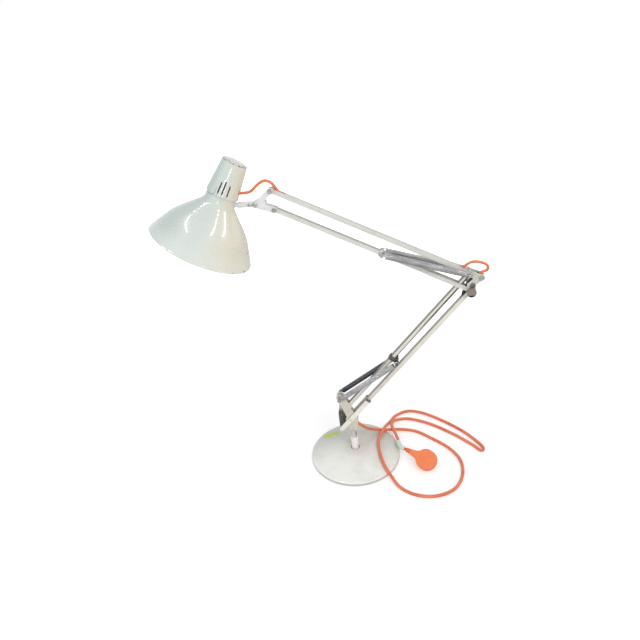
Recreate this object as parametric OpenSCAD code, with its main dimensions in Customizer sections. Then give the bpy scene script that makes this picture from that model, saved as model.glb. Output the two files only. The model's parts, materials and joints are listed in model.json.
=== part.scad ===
// Architect lamp: a sprung double-parallelogram arm on a round weighted base, with a spun shade.
// The arms lie in the XZ plane. The origin is the centre of the base's underside, +Z is up,
// and the camera side, called near here, is -Y.

/* [Base] */
// Diameter of the round base
base_d = 204; // [180:1:240]
// Height of the base's upright edge
base_edge = 8; // [6:0.5:12]
// Height of the domed top at its centre
base_rise = 22; // [18:0.5:30]
// Thickness of the pressed cover
base_wall = 1.2; // [0.8:0.1:2]
// Thickness of the felt pad under the base
pad_t = 2; // [1:0.5:4]
// Outside diameter of the swivel bush
bush_d = 16; // [15.5:0.1:20]
// Height of the bush's top above the table
bush_top = 54; // [45:1:60]
// Diameter of the swivel spigot
spigot_d = 12.7; // [11:0.1:13.2]
// Distance from the main pivot down to the spigot's rounded top
spigot_drop = 17.4; // [15.4:0.1:22.4]

/* [Arms] */
// Distance between the pivots of each arm
arm_length = 400; // [350:5:450]
// Angle of the lower arm above the table, in degrees
lower_lean = 51.1; // [45:0.1:58]
// Angle of the upper arm above the horizontal, in degrees
upper_rise = 26.5; // [15:0.1:35]
// Height from each main pivot to its link pivot
link_height = 35.5; // [33:0.5:38]
// Backward offset from each main pivot to its link pivot
link_back = 3; // [1:0.5:5]
// Height of the main pivot above the table
pivot_height = 106.4; // [105:0.1:112]
// Sideways place of the main pivot
pivot_x = -5.5; // [-7:0.1:-4]
// Outside width of the square arm tubes
tube_w = 9; // [8:0.1:9.5]
// Wall of the square arm tubes
tube_wall = 1; // [0.8:0.1:1.2]
// Thickness of the pressed plates
plate_t = 1.5; // [1.2:0.1:1.8]
// Side clearance between cheeks that turn on each other
side_gap = 0.35; // [0.2:0.05:0.5]
// Diameter of the pivot bolts
bolt_d = 6; // [5:0.1:6.4]

/* [Foot channel] */
// Length of the channel above the main pivot
channel_up = 70.6; // [60:1:90]
// Length of the channel's tail below the main pivot
channel_down = 37; // [25:1:38]
// Height of the channel's cheeks
channel_h = 11.2; // [10:0.1:12]

/* [Springs] */
// Outside diameter of the springs
spring_d = 10; // [9:0.5:11]
// Diameter of the spring wire
wire_d = 1.8; // [1.4:0.1:2]
// Curls in each spring
spring_curls = 20; // [12:1:24]
// Distance of each spring from the plane of the arms
spring_y = 15; // [14.5:0.5:17]
// Distance of the lower clip from the link's lower pivot
lower_clip_at = 160.8; // [140:1:180]
// Distance of the lower clip's studs from the link's centre line
lower_clip_drop = 11.6; // [9:0.1:13]
// Distance of the upper clip from the elbow pivot
upper_clip_at = 185; // [160:1:200]

/* [Head] */
// Lean of the shade's axis from the upright, in degrees
shade_lean = 30.25; // [20:0.25:40]
// Roll of the shade about the head strap, in degrees
shade_roll = 7.5; // [-15:0.5:15]
// Radius of the shade's rim
rim_r = 102; // [90:1:115]
// Thickness of the spun shade
shade_wall = 1.2; // [0.8:0.1:1.6]
// Radius of the shade's collar
collar_r = 28.6; // [27:0.1:31]
// Radius of the neck housing at its top
neck_top_r = 23.6; // [22:0.1:26]
// Height of the whole shade along its axis
shade_h = 176; // [165:1:185]
// Height of the head strap
strap_h = 9.5; // [8:0.1:11]
// Diameter of the lampholder
holder_d = 36; // [34:1:38]

/* [Cables] */
// Diameter of the mains cord
cord_d = 7; // [6:0.1:8]
// Diameter of the two loops of inner cable
cable_d = 5.6; // [5:0.1:6]
// Diameter of the plug's disc
plug_d = 46; // [40:1:50]
// Thickness of the plug's disc
plug_t = 16; // [14:1:20]

/* [Hidden] */

$fn = 64;
eps = 0.01;
run_fit = 0.05;
fixed_fit = 0.02;
open_pivot_fit = 0.3;
bolt_r = bolt_d / 2;
half_tube = tube_w / 2;

// Places across the arms: fork ears, then plates outside them, then bolt heads
ear_in = half_tube + side_gap;
ear_out = ear_in + plate_t;
outer_in = ear_out + side_gap;
outer_out = outer_in + plate_t;
head_t = 2.6;
head_r = 4.6;
stud_r = 2.3;
stud_end = spring_y + wire_d / 2 + 1.5;

function toward(a) = [cos(a), sin(a)];
function unit(v) = v / norm(v);
lower_dir = toward(lower_lean);
lower_up = toward(lower_lean + 90);
upper_dir = toward(180 - upper_rise);
link = [-link_back, link_height];
main_pivot = [pivot_x, pivot_height];
link_pivot = main_pivot + link;
elbow = main_pivot + arm_length * lower_dir;
elbow_top = elbow + link;
head_low = elbow + arm_length * upper_dir;
head_top = head_low + link;
tilt_offset = [-35.6, 11.9];
tilt_pivot = head_low + tilt_offset;
spacer_offset = [18.2, 26.4];
elbow_spacer = elbow + spacer_offset;
anchor_offset = [-19, 60.8];
anchor = main_pivot + anchor_offset;
lower_clip = link_pivot + lower_clip_at * lower_dir - lower_clip_drop * lower_up;
upper_clip = elbow + upper_clip_at * upper_dir;

// Outlines and bars in the plane of the arms
module at(p) translate([p[0], 0, p[1]]) children();
module across(r, half) rotate([90, 0, 0]) cylinder(r = r, h = 2 * half, center = true);
module span_y(r, y0, y1) translate([0, y1, 0]) rotate([90, 0, 0]) cylinder(r = r, h = y1 - y0);
module slab(y0, t) translate([0, y0 + t, 0]) rotate([90, 0, 0])
    for (i = [0:$children - 1]) linear_extrude(t) children(i);
module pair(y0, t) for (y = [y0, -y0 - t]) translate([0, y + t, 0]) rotate([90, 0, 0])
    for (i = [0:$children - 1]) linear_extrude(t) children(i);
module bolt_holes(places) for (p = places) at(p) across(bolt_r + fixed_fit, stud_end);
module stadium(p, q, r) {
    side = r * [-(q - p)[1], (q - p)[0]] / norm(q - p);
    translate(p) circle(r);
    translate(q) circle(r);
    polygon([p + side, q + side, q - side, p - side]);
}
module along(p, angle) at(p) rotate([0, -angle, 0]) children();
module bar(x0, x1, w, h) translate([x0, -w / 2, -h / 2]) cube([x1 - x0, w, h]);

// A tube swept along points, with a frame carried from ring to ring
function tangents(p) = [for (i = [0:len(p) - 1])
    unit(p[min(i + 1, len(p) - 1)] - p[max(i - 1, 0)])];
function carry(n, t) = unit(n - t * (n * t));
function normals(t, first) = [for (i = 0, n = carry(first, t[0]); i < len(t);
    i = i + 1, n = i < len(t) ? carry(n, t[i]) : n) n];
function soften(p, step) = [for (i = [0:len(p) - 2])
    let (a = p[max(i - 1, 0)], b = p[i], c = p[i + 1], d = p[min(i + 2, len(p) - 1)],
        steps = max(1, round(norm(c - b) / step)))
    for (k = [0:steps - 1]) let (u = k / steps)
        ((2 * b) + (c - a) * u + (2 * a - 5 * b + 4 * c - d) * u ^ 2
            + (3 * b - a - 3 * c + d) * u ^ 3) / 2, p[len(p) - 1]];
module tube(p, r, sides, first = [0, 0, 1]) {
    t = tangents(p);
    n = normals(t, first);
    rings = [for (i = [0:len(p) - 1], k = [0:sides - 1])
        p[i] + r * (cos(360 * k / sides) * n[i] + sin(360 * k / sides) * cross(t[i], n[i]))];
    last = (len(p) - 1) * sides;
    walls = [for (i = [0:len(p) - 2], k = [0:sides - 1], half = [0, 1])
        let (a = i * sides + k, b = i * sides + (k + 1) % sides)
        half == 0 ? [a, b + sides, b] : [a, a + sides, b + sides]];
    first_cap = [for (k = [1:sides - 2]) [0, k, k + 1]];
    last_cap = [for (k = [1:sides - 2]) [last, last + k + 1, last + k]];
    polyhedron(points = rings, faces = concat(walls, first_cap, last_cap), convexity = 10);
}

// Base
dome_r = ((base_d / 2) ^ 2 + (base_rise - base_edge) ^ 2) / (2 * (base_rise - base_edge));
hub_hole_r = bush_d / 2 + 2.4;
socket_r = bush_d / 2 + 1.8;
bush_foot = pad_t + 3;
module dome(r, height, drop) {
    intersection() {
        translate([0, 0, base_rise - drop - dome_r]) sphere(r = dome_r, $fn = 180);
        cylinder(r = r, h = height, $fn = 180);
    }
}
module base_shell() color("gainsboro") {
    edge_round = 3;
    slope_run = 12;
    difference() {
        intersection() {
            translate([0, 0, pad_t / 2]) dome(base_d / 2, base_rise + 1, pad_t / 2);
            union() {
                cylinder(r = base_d / 2, h = base_edge - edge_round, $fn = 180);
                translate([0, 0, base_edge - edge_round])
                    cylinder(r1 = base_d / 2, r2 = base_d / 2 - slope_run, h = base_rise, $fn = 180);
            }
        }
        translate([0, 0, -1]) dome(base_d / 2 - base_wall, base_rise + 2, base_wall - 1);
        translate([0, 0, -1]) cylinder(r = hub_hole_r, h = base_rise + 2);
    }
}
module base_weight() color("dimgray") {
    difference() {
        translate([0, 0, pad_t]) dome(base_d / 2 - base_wall - 3.5, base_rise + 2, pad_t + base_wall + 0.1);
        translate([0, 0, -1]) cylinder(r = socket_r + fixed_fit, h = base_rise + 2);
    }
}
module base_pad() color("darkslategray")
    cylinder(r = base_d / 2 - base_wall - 3, h = pad_t);
module socket_tube() color("silver") {
    difference() {
        translate([0, 0, pad_t]) cylinder(r = socket_r, h = base_rise - pad_t - 2);
        translate([0, 0, bush_foot]) cylinder(r = bush_d / 2 + fixed_fit, h = base_rise);
    }
}
module swivel_bush() color("white") {
    difference() {
        translate([0, 0, bush_foot]) cylinder(r = bush_d / 2, h = bush_top - bush_foot);
        translate([0, 0, bush_foot + 2]) cylinder(r = spigot_d / 2 + run_fit, h = bush_top);
    }
}
module tape_patch() color("yellowgreen") {
    tape_t = 0.3;
    outline = [[-78, 40], [-73, 56], [-58, 60], [-46, 64], [-41, 55], [-55, 48], [-62, 42]];
    intersection() {
        difference() {
            translate([0, 0, base_rise - dome_r]) sphere(r = dome_r + 0.02 + tape_t, $fn = 180);
            translate([0, 0, base_rise - dome_r]) sphere(r = dome_r + 0.02, $fn = 180);
        }
        linear_extrude(base_rise) polygon(outline);
    }
}

// Swivel bracket
spigot_foot = bush_foot + 2 + 0.3;
spigot_top = pivot_height - spigot_drop;
tongue_length = 15;
tongue_from = spigot_top - tongue_length;
tongue_rivet = [0, tongue_from + 7];
rivet_r = 1.8;
module spigot() color("silver") {
    tongue_half = ear_in - 0.1;
    difference() {
        union() {
            translate([0, 0, spigot_foot]) cylinder(d = spigot_d, h = spigot_top - spigot_foot - spigot_d / 2);
            translate([0, 0, spigot_top - spigot_d / 2]) sphere(d = spigot_d);
        }
        at(tongue_rivet) across(rivet_r + fixed_fit, spigot_d);
        for (side = [-1, 1])
            translate([0, side * (tongue_half + spigot_d / 2), tongue_from + spigot_top / 2])
                cube([spigot_d + 2, spigot_d, spigot_top], center = true);
    }
}
bracket_lug_r = 8;
bracket_eye_r = 10;
// Each plate is one outline; the far one has a wing, given as its child
module bracket_plate(y0) {
    difference() {
        union() {
            slab(y0, plate_t) {
                stadium(anchor, link_pivot, bracket_lug_r);
                polygon([anchor + [8.7, -11], link_pivot + [10.8, -12], main_pivot + [17.6, 3.7],
                    main_pivot + [17, -11], [spigot_d / 2 + 2.4, tongue_from + 6],
                    [spigot_d / 2, tongue_from + 1], [-spigot_d / 2, tongue_from + 1],
                    main_pivot + [-9, -12], main_pivot + [-8, 9.4], anchor + [1, -23]]);
                translate(main_pivot) circle(bracket_eye_r);
            }
            children();
        }
        bolt_holes([main_pivot, link_pivot, anchor]);
        at(tongue_rivet) across(rivet_r + fixed_fit, stud_end);
    }
}
module bracket_near_plate() color("tan") bracket_plate(-ear_out);
module bracket_far_plate() color("tan") bracket_plate(ear_in)
    slab(ear_in, plate_t)
        polygon([anchor + [-4, -24], anchor + [8, -40], main_pivot + [-6, -12], main_pivot + [-14, -25],
            main_pivot + [-26, -28], main_pivot + [-27, 8]]);
module pivot_pins() color("darkgray") {
    at(main_pivot) across(bolt_r, outer_out);
    at(link_pivot) across(bolt_r, ear_out);
    at(tongue_rivet) {
        across(rivet_r, ear_out + 0.5);
        for (side = [-1, 1]) scale([1, side, 1])
            span_y(rivet_r + 1.4, ear_out + fixed_fit, ear_out + 1);
    }
}
module spring_anchor() color("gray") {
    at(anchor) {
        across(bolt_r, ear_out + 1);
        across(stud_r, stud_end);
        for (side = [-1, 1]) scale([1, side, 1]) {
            span_y(head_r, ear_out + fixed_fit, ear_out + 2.5);
            span_y(head_r, stud_end, stud_end + 1.5);
        }
        across(bolt_r + 2, ear_in - 0.05);
    }
}
grommet_offset = [11.5, -10.4];
grommet_at = main_pivot + grommet_offset;
grommet_dip = 35;
grommet_length = 9;
module cord_grommet() color("black") at(grommet_at) rotate([0, 90 + grommet_dip, 0]) difference() {
    cylinder(r = ear_in - 0.1, h = grommet_length, center = true);
    cylinder(r = cord_d / 2 + 0.1, h = grommet_length + 2, center = true);
}

// Mains cord, from the bracket over the base and the table to the plug
function from_place(place, offset) = [place[0] + offset[0], offset[1], place[1] + offset[2]];
cord_start = [[8.2, 0, -8.1], [17.2, 0, -14.4], [23.5, 6, -25.4]];
cord_route = concat([for (p = cord_start) from_place(main_pivot, p)], [
    [26, 27, 56], [37, 50, 33], [51, 62, 21], [66, 67, 15.8], [84, 77, 8],[108, 83, 3.6], [142, 76, 3.6], [178, 51, 3.6], [215, 18, 3.6], [236, -20, 3.6],
    [236, -66, 3.6], [216, -106, 3.6], [178, -127, 3.6], [136, -126, 3.6], [102, -106, 3.8], [82, -78, 10],
    [67, -52, 17.4], [57, -17, 21.6], [53, 16, 22.2], [58, 44, 21.4], [67, 66, 23.6], [73, 88, 15],
    [80, 110, 5.5], [95, 137, 3.6], [126, 154, 3.6], [164, 145, 3.6], [207, 117, 3.6], [252, 78, 3.6],
    [283, 38, 3.6], [292, 18, 3.6], [285, 11, 3.6], [270, 29, 3.6], [229, 67, 3.6], [177, 104, 3.6],
    [128, 123, 3.6], [96, 118, 4.5], [84, 96, 12], [86, 74, 16.6], [94, 54, 11.5], [98.5, 37, 12.5],
    [99, 20, 17.5], [105, 0.5, 22], [115, -7, 22]]);
ring_step = 24;
cord_points = soften(cord_route, ring_step);
sleeve_rings = 2;
nose_tip = cord_route[len(cord_route) - 1];
plug_heading = 143;
plug_reach = 56.6;
pin_length = 19;
pin_r = 2.4;
pin_spacing = 19;
plug_tilt = atan(pin_length / (plug_d / 2));
module floor_cord() color("orangered") tube(cord_points, cord_d / 2, 8);
module cord_sleeve() color("honeydew") {
    last = len(cord_points) - 1;
    points = [for (i = [last - sleeve_rings:last]) cord_points[i]];
    inner = cord_d / 2 / cos(22.5) + 0.08;
    past = unit(points[sleeve_rings] - points[sleeve_rings - 1]);
    before = unit(points[0] - points[1]);
    difference() {
        tube(points, inner + 0.8, 8);
        tube(concat([points[0] + before], [for (i = [1:sleeve_rings - 1]) points[i]],
            [points[sleeve_rings] + past]), inner, 8);
    }
}
module plug_place() {
    translate(nose_tip) rotate([0, 0, plug_heading + 180]) translate([plug_reach, 0, 0])
        rotate([plug_tilt, 0, 0]) children();
}
module plug_body() color("orangered") {
    edge = 3;
    plug_place() difference() {
        union() {
            translate([0, 0, -plug_t / 2]) cylinder(d = plug_d, h = plug_t - edge);
            translate([0, 0, plug_t / 2 - edge]) cylinder(d1 = plug_d, d2 = plug_d - 2 * edge, h = edge);
            translate([-plug_reach, 0, 0]) rotate([0, 90, 0])
                cylinder(r1 = cord_d / 2 + 2, r2 = plug_t / 2, h = plug_reach - plug_d / 4);
        }
        for (side = [-1, 1])
            translate([side * pin_spacing / 2, 0, -plug_t / 2 - 1])
                cylinder(r = pin_r + fixed_fit, h = plug_t / 2 + 1);
    }
}
module plug_pins() color("silver") {
    plug_place() for (side = [-1, 1])
        translate([side * pin_spacing / 2, 0, -plug_t / 2 - pin_length]) {
            translate([0, 0, pin_r / 2]) cylinder(r = pin_r, h = plug_t / 2 + pin_length - pin_r / 2 - 0.5);
            cylinder(r1 = pin_r / 2, r2 = pin_r, h = pin_r / 2);
        }
}

// Springs
hook_r = stud_r + 0.35 + wire_d / 2;
coil_r = (spring_d - wire_d) / 2;
coil_margin = 9;
function spring_path(length) = let (curl_rings = 8, turn = spring_curls * curl_rings) concat(
    [for (a = [300:-35:90]) hook_r * [cos(a), 0, sin(a)]],
    [[coil_margin / 2, 0, (hook_r + coil_r) / 2]],
    [for (k = [0:turn]) let (a = 90 + 360 * k / curl_rings)
        [coil_margin + (length - 2 * coil_margin) * k / turn, coil_r * cos(a), coil_r * sin(a)]],
    [[length - coil_margin / 2, 0, (hook_r + coil_r) / 2]],
    [for (a = [90:-35:-120]) [length, 0, 0] + hook_r * [cos(a), 0, sin(a)]]);
function curl_gap(p) = min([for (i = [0:len(p) - 1], j = [i + 5:1:min(i + 12, len(p) - 1)])
    norm(p[i] - p[j])]) - wire_d;
module spring(from, to, y) {
    way = to - from;
    translate([from[0], y, from[1]]) rotate([0, -atan2(way[1], way[0]), 0])
        tube(spring_path(norm(way)), wire_d / 2, 6, [0, 1, 0]);
}
echo(lower_spring_gap = curl_gap(spring_path(norm(lower_clip - anchor))));
echo(upper_spring_gap = curl_gap(spring_path(norm(upper_clip - elbow_top))));
module lower_spring_near() color("slategray") spring(anchor, lower_clip, -spring_y);
module lower_spring_far() color("slategray") spring(anchor, lower_clip, spring_y);
module upper_spring_near() color("slategray") spring(upper_clip, elbow_top, -spring_y);
module upper_spring_far() color("slategray") spring(upper_clip, elbow_top, spring_y);

// Lower arm
rod_plug = 7;
module rod_shell(length, open_from, open_to) {
    inner = tube_w - 2 * tube_wall;
    difference() {
        bar(open_from, open_to, tube_w, tube_w);
        bar(max(open_from, rod_plug), min(open_to, length - rod_plug), inner, inner);
    }
}
rivet_places = [34, 58];
cable_slot = [8, 25];
module lower_main_tube() color("wheat") {
    along(main_pivot, lower_lean) difference() {
        union() {
            rod_shell(arm_length, 0, arm_length);
            across(half_tube, half_tube);
            translate([arm_length, 0, 0]) across(half_tube, half_tube);
        }
        across(bolt_r + run_fit, tube_w);
        translate([arm_length, 0, 0]) across(bolt_r + run_fit, tube_w);
        for (x = rivet_places) translate([x, 0, 0]) across(rivet_r + fixed_fit, tube_w);
        cable_opening(arm_length - cable_slot[1], arm_length - cable_slot[0]);
    }
}
web_from = 23;
module foot_channel() color("tan") {
    cheek_in = outer_in;
    along(main_pivot, lower_lean) difference() {
        union() {
            pair(cheek_in, plate_t) {
                translate([-channel_down + channel_h / 2, -channel_h / 2])
                    square([channel_up + channel_down - channel_h / 2, channel_h]);
                translate([-channel_down + channel_h / 2, 0]) circle(channel_h / 2);
            }
            translate([web_from, -outer_out, -channel_h / 2])
                cube([channel_up - web_from, 2 * outer_out, channel_h / 2 - half_tube - 0.05]);
        }
        across(bolt_r + run_fit, outer_out + 1);
        for (x = rivet_places) translate([x, 0, 0]) across(rivet_r + fixed_fit, outer_out + 1);
    }
}
module foot_rivets() color("gray") {
    along(main_pivot, lower_lean) for (x = rivet_places) translate([x, 0, 0]) {
        across(rivet_r, outer_out + 0.8);
        for (side = [-1, 1]) scale([1, side, 1]) {
            span_y(rivet_r + 2, half_tube + fixed_fit, outer_in - fixed_fit);
            span_y(rivet_r + 1.4, outer_out + fixed_fit, outer_out + 1);
        }
    }
}
module lower_link_tube() color("wheat") {
    along(link_pivot, lower_lean) difference() {
        union() {
            rod_shell(arm_length, 0, arm_length);
            across(half_tube, half_tube);
            translate([arm_length, 0, 0]) across(half_tube, half_tube);
        }
        across(bolt_r + run_fit, tube_w);
        translate([arm_length, 0, 0]) across(bolt_r + open_pivot_fit, tube_w);
    }
}
clip_half = 4.5;
module clip_loop() {
    top = half_tube + fixed_fit;
    for (side = [-1, 1])
        translate([-clip_half, -ear_out, side > 0 ? top : -top - 1.3])
            cube([2 * clip_half, 2 * ear_out, 1.3]);
    pair(ear_in, plate_t)
        translate([-clip_half, -top - 1.3]) square([2 * clip_half, 2 * top + 2.6]);
}
module clip_studs() {
    for (side = [-1, 1]) scale([1, side, 1]) {
        span_y(stud_r, ear_out - 0.5, stud_end);
        span_y(stud_r + 1.2, stud_end, stud_end + 1.2);
    }
}
module lower_spring_clip() color("dimgray") {
    along(link_pivot, lower_lean) translate([lower_clip_at, 0, 0]) {
        clip_loop();
        pair(ear_in, plate_t) stadium([0, 0], [0, -lower_clip_drop], clip_half);
        translate([0, 0, -lower_clip_drop]) clip_studs();
    }
}

// Elbow
module bolt(p, half_near, half_far, head) {
    at(p) {
        span_y(bolt_r, -half_near, half_far);
        if (head) difference() {
            span_y(head_r, -half_near - head_t, -half_near);
            span_y(head_r / 2, -half_near - head_t - 1, -half_near - head_t + 0.8);
        }
    }
}
module nut(p, half) {
    at(p) difference() {
        translate([0, half + head_t, 0]) rotate([90, 0, 0]) cylinder(r = head_r + 0.5, h = head_t, $fn = 6);
        across(bolt_r + fixed_fit, half + head_t + 1);
    }
}
rivet_offset = [2.5, 11.6];
module elbow_plate(y0) {
    lug_r = 6.3;
    difference() {
        slab(y0, plate_t) {
            stadium(elbow_top, elbow_spacer, lug_r);
            translate(elbow) circle(8.3);
            polygon([elbow + [-8.2, 1], elbow + [-8.2, 15.1], elbow + [2.3, 25], elbow_top + [3, -5],
                elbow_top + [4, 2], elbow_spacer + [2.4, -5.3], elbow + [8.3, 12.4], elbow + [8.2, 1]]);
        }
        bolt_holes([elbow, elbow_top, elbow_spacer]);
        at(elbow + rivet_offset) across(rivet_r + fixed_fit, outer_out + 1);
    }
}
module elbow_near_plate() color("lightgray") elbow_plate(-outer_out);
module elbow_far_plate() color("lightgray") elbow_plate(outer_in);
knob_r = 9.2;
knob_t = 8;
knob_in = outer_out + 2;
module elbow_bolts() color("gray") {
    mirror([0, 1, 0]) bolt(elbow, outer_out, knob_in + knob_t - 2.5, true);
    bolt(elbow_spacer, outer_out, outer_out + head_t + 1, true);
    at(elbow_spacer) across(bolt_r + 1.8, outer_in - 0.05);
    bolt(elbow_top, outer_out, outer_out + head_t, true);
    at(elbow_top) {
        across(stud_r, stud_end);
        for (side = [-1, 1]) scale([1, side, 1])
            span_y(stud_r + 1.2, stud_end, stud_end + 1.2);
    }
}
module elbow_nuts() color("gray") {
    nut(elbow_spacer, outer_out);
    nut(elbow_top, outer_out);
}
module elbow_rivets() color("dimgray") {
    at(elbow + rivet_offset) for (side = [-1, 1]) scale([1, side, 1]) {
        span_y(rivet_r, outer_in, outer_out + 1);
        span_y(5.2, outer_out + fixed_fit, outer_out + 2.2);
    }
}
module elbow_knob() color("saddlebrown") {
    grips = 24;
    at(elbow) difference() {
        union() {
            span_y(knob_r, -knob_in - knob_t, -knob_in - 2);
            span_y(knob_r - 3, -knob_in - 2, -knob_in + 1.6);
        }
        for (k = [0:grips - 1]) rotate([0, 360 * k / grips, 0]) translate([knob_r + 0.6, 0, 0])
            span_y(1.2, -knob_in - knob_t - 1, -knob_in - 1);
        span_y(bolt_r + run_fit, -knob_in - knob_t + 2.3, 0);
        translate([0, -knob_in - knob_t - 30 + 1.2, 0]) sphere(r = 30);
    }
}
elbow_cable_offsets = [
    [-26.7, 0, 46.8], [-20.7, 0, 44.3], [-16.2, 0, 45.8], [-10.2, 0, 50.8], [-2.7, 0, 55.3], [7.3, 0, 56.8],
    [18.3, 0, 54.3], [25.3, 0, 51.1], [29.8, 0, 45.3], [28.3, 0, 39.1], [21.8, 0, 36.3], [14.3, 0, 33.9],
    [6.3, 0, 27.8], [-0.2, 0, 19.8], [-6.2, 0, 11.3], [-10.7, 0, 2.3], [-13.2, 0, -5.2], [-14.2, 0, -12.7]];
elbow_cable_route = [for (p = elbow_cable_offsets) from_place(elbow, p)];
module elbow_cable() color("orangered") tube(elbow_cable_route, cable_d / 2, 8, [0, 1, 0]);

// Upper arm, built along -X from its elbow end. Each rod ends there in a fork of two cheeks, and
// the lower link swings inside the bottom rod's fork, which is the longer one for that reason.
short_fork = 17;
long_fork = 70;
cheek_overlap = 17;
slot_from = 5.6;
slot_to = 27;
mouth_slot = 8;
slot_w = cable_d + 0.8;
module upper_rod(p, elbow_fit, head_fit, fork) {
    inner = tube_w - 2 * tube_wall;
    cheek_reach = fork + cheek_overlap;
    at(p) rotate([0, upper_rise, 0]) mirror([1, 0, 0]) difference() {
        union() {
            difference() {
                bar(fork, arm_length, tube_w, tube_w);
                bar(fork - 1, arm_length - rod_plug, inner, inner);
            }
            translate([arm_length, 0, 0]) across(half_tube, half_tube);
            pair(ear_in, plate_t) stadium([0, 0], [cheek_reach, 0], half_tube);
            pair(half_tube - 0.2, side_gap + 0.4)
                translate([fork + 4, -half_tube + 1]) square([cheek_overlap - 4, tube_w - 2]);
        }
        across(bolt_r + elbow_fit, outer_out);
        translate([arm_length, 0, 0]) across(bolt_r + head_fit, outer_out);
        children();
    }
}
module cable_opening(x0, x1) translate([x0, -slot_w / 2, 0]) cube([x1 - x0, slot_w, tube_w]);
module upper_bottom_tube() color("whitesmoke") upper_rod(elbow, run_fit, open_pivot_fit, long_fork);
module upper_top_tube() color("whitesmoke") upper_rod(elbow_top, run_fit, run_fit, short_fork) {
    cable_opening(short_fork - 1, short_fork + mouth_slot);
    cable_opening(arm_length - slot_to, arm_length - slot_from);
}
module upper_spring_clip() color("dimgray") {
    at(elbow) rotate([0, upper_rise, 0]) translate([-upper_clip_at, 0, 0]) {
        clip_loop();
        clip_studs();
    }
}

// Head bracket
module head_plate(y0) {
    difference() {
        slab(y0, plate_t) {
            stadium(tilt_pivot, head_low, 5.8);
            stadium(tilt_pivot + [9, 4], head_top, 5.3);
            polygon([tilt_pivot + [-2, 5.4], tilt_pivot + [6, 8.6], tilt_pivot + [22, 4],
                tilt_pivot + [20, -6], tilt_pivot]);
        }
        bolt_holes([tilt_pivot, head_low, head_top]);
    }
}
module head_near_plate() color("whitesmoke") head_plate(-ear_out);
module head_far_plate() color("whitesmoke") head_plate(ear_in);
module head_bolts() color("gray")
    for (p = [tilt_pivot, head_low, head_top]) bolt(p, ear_out, ear_out + head_t + 0.6, true);
module head_nuts() color("gray")
    for (p = [tilt_pivot, head_low, head_top]) nut(p, ear_out);
head_cable_offsets = [
    [-67.7, 0, -2.1], [-61.7, 0, -2.1], [-54.7, 0, -1.9], [-45.7, 0, -1.7], [-37.7, 0, 0.3], [-30.7, 0, 5.3],
    [-23.7, 0, 11.3], [-15.7, 0, 16.1], [-7.7, 0, 17.8], [-0.2, 0, 15.3], [5.3, 0, 10.3], [8.8, 0, 4.8],
    [11.8, 0, -0.2], [15.3, 0, -4.7], [20.3, 0, -9.1], [25.8, 0, -12.8]];
head_cable_route = [for (p = head_cable_offsets) from_place(head_top, p)];
module head_cable() color("orangered") tube(head_cable_route, cable_d / 2, 8, [0, 1, 0]);

// Head strap with the stud that the shade rolls on
strap_reach = 33;
stud_shoulder = 49;
stud_length = 56.5;
shoulder_r = 4.5;
screw_at = 11;
module head_strap() color("whitesmoke") {
    at(tilt_pivot) difference() {
        union() {
            slab(-half_tube, tube_w) {
                circle(strap_h / 2);
                translate([-strap_reach, -strap_h / 2]) square([strap_reach, strap_h]);
            }
            rotate([0, -90, 0]) cylinder(r = shoulder_r, h = stud_shoulder);
            rotate([0, -90, 0]) cylinder(r = bolt_r, h = stud_length);
        }
        across(bolt_r + run_fit, tube_w);
        translate([-screw_at, 0, 0]) across(rivet_r + fixed_fit, tube_w);
    }
}
plate_x = stud_shoulder + 0.1;
module stud_nut() color("gray") {
    at(tilt_pivot) rotate([0, -90, 0]) difference() {
        translate([0, 0, plate_x + plate_t + 0.1]) cylinder(r = head_r + 0.6, h = 4, $fn = 6);
        cylinder(r = bolt_r + fixed_fit, h = stud_length + 5);
    }
}
module strap_screw() color("gray") {
    at(tilt_pivot - [screw_at, 0]) {
        across(rivet_r, half_tube + 0.5);
        for (side = [-1, 1]) scale([1, side, 1])
            span_y(2.6, half_tube + fixed_fit, half_tube + 1.4);
    }
}

// Shade: everything here is drawn along the shade's own axis, from the rim upwards
rim_offset = [-116.2, -74.6];
collar_from = 103;
collar_to = 117;
neck_from = 112;
neck_low_r = collar_r + 2.2;
cap_t = 1.2;
bell_shape = [[0, 1], [18, 0.87], [32, 0.757], [46, 0.64], [59, 0.486], [73, 0.297], [86, 0.125],
    [95, 0.025], [collar_from, 0]];
function bell_point(b) = [collar_r + (rim_r - collar_r) * b[1], b[0]];
function inset(p, t) = [for (i = [0:len(p) - 1])
    let (w = unit(p[min(i + 1, len(p) - 1)] - p[max(i - 1, 0)])) p[i] + t * [-w[1], w[0]]];
module shade_place() {
    at(tilt_pivot) rotate([-shade_roll, 0, 0]) at(rim_offset) rotate([0, shade_lean, 0]) children();
}
module rolled() at(tilt_pivot) rotate([-shade_roll, 0, 0]) children();
module shade_bell() color("lightcyan") {
    curve = concat(soften([for (b = bell_shape) bell_point(b)], 7), [[collar_r, collar_to]]);
    inner = inset(curve, shade_wall);
    bead = 1.2;
    difference() {
        shade_place() {
            rotate_extrude($fn = 120) polygon(concat(curve, [for (i = [len(inner) - 1:-1:0]) inner[i]]));
            rotate_extrude($fn = 120) translate([rim_r - shade_wall / 2, bead / 2]) circle(bead, $fn = 16);
        }
        rolled() rotate([0, -90, 0]) cylinder(r = shoulder_r + 0.7, h = stud_shoulder);
    }
}
function neck_r(s) = neck_low_r + (neck_top_r - neck_low_r) * (s - neck_from) / (shade_h - neck_from);
vent_slots = [[266, 115, 137], [281, 113.5, 141], [300, 115, 136]];
vent_w = 2.4;
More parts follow.
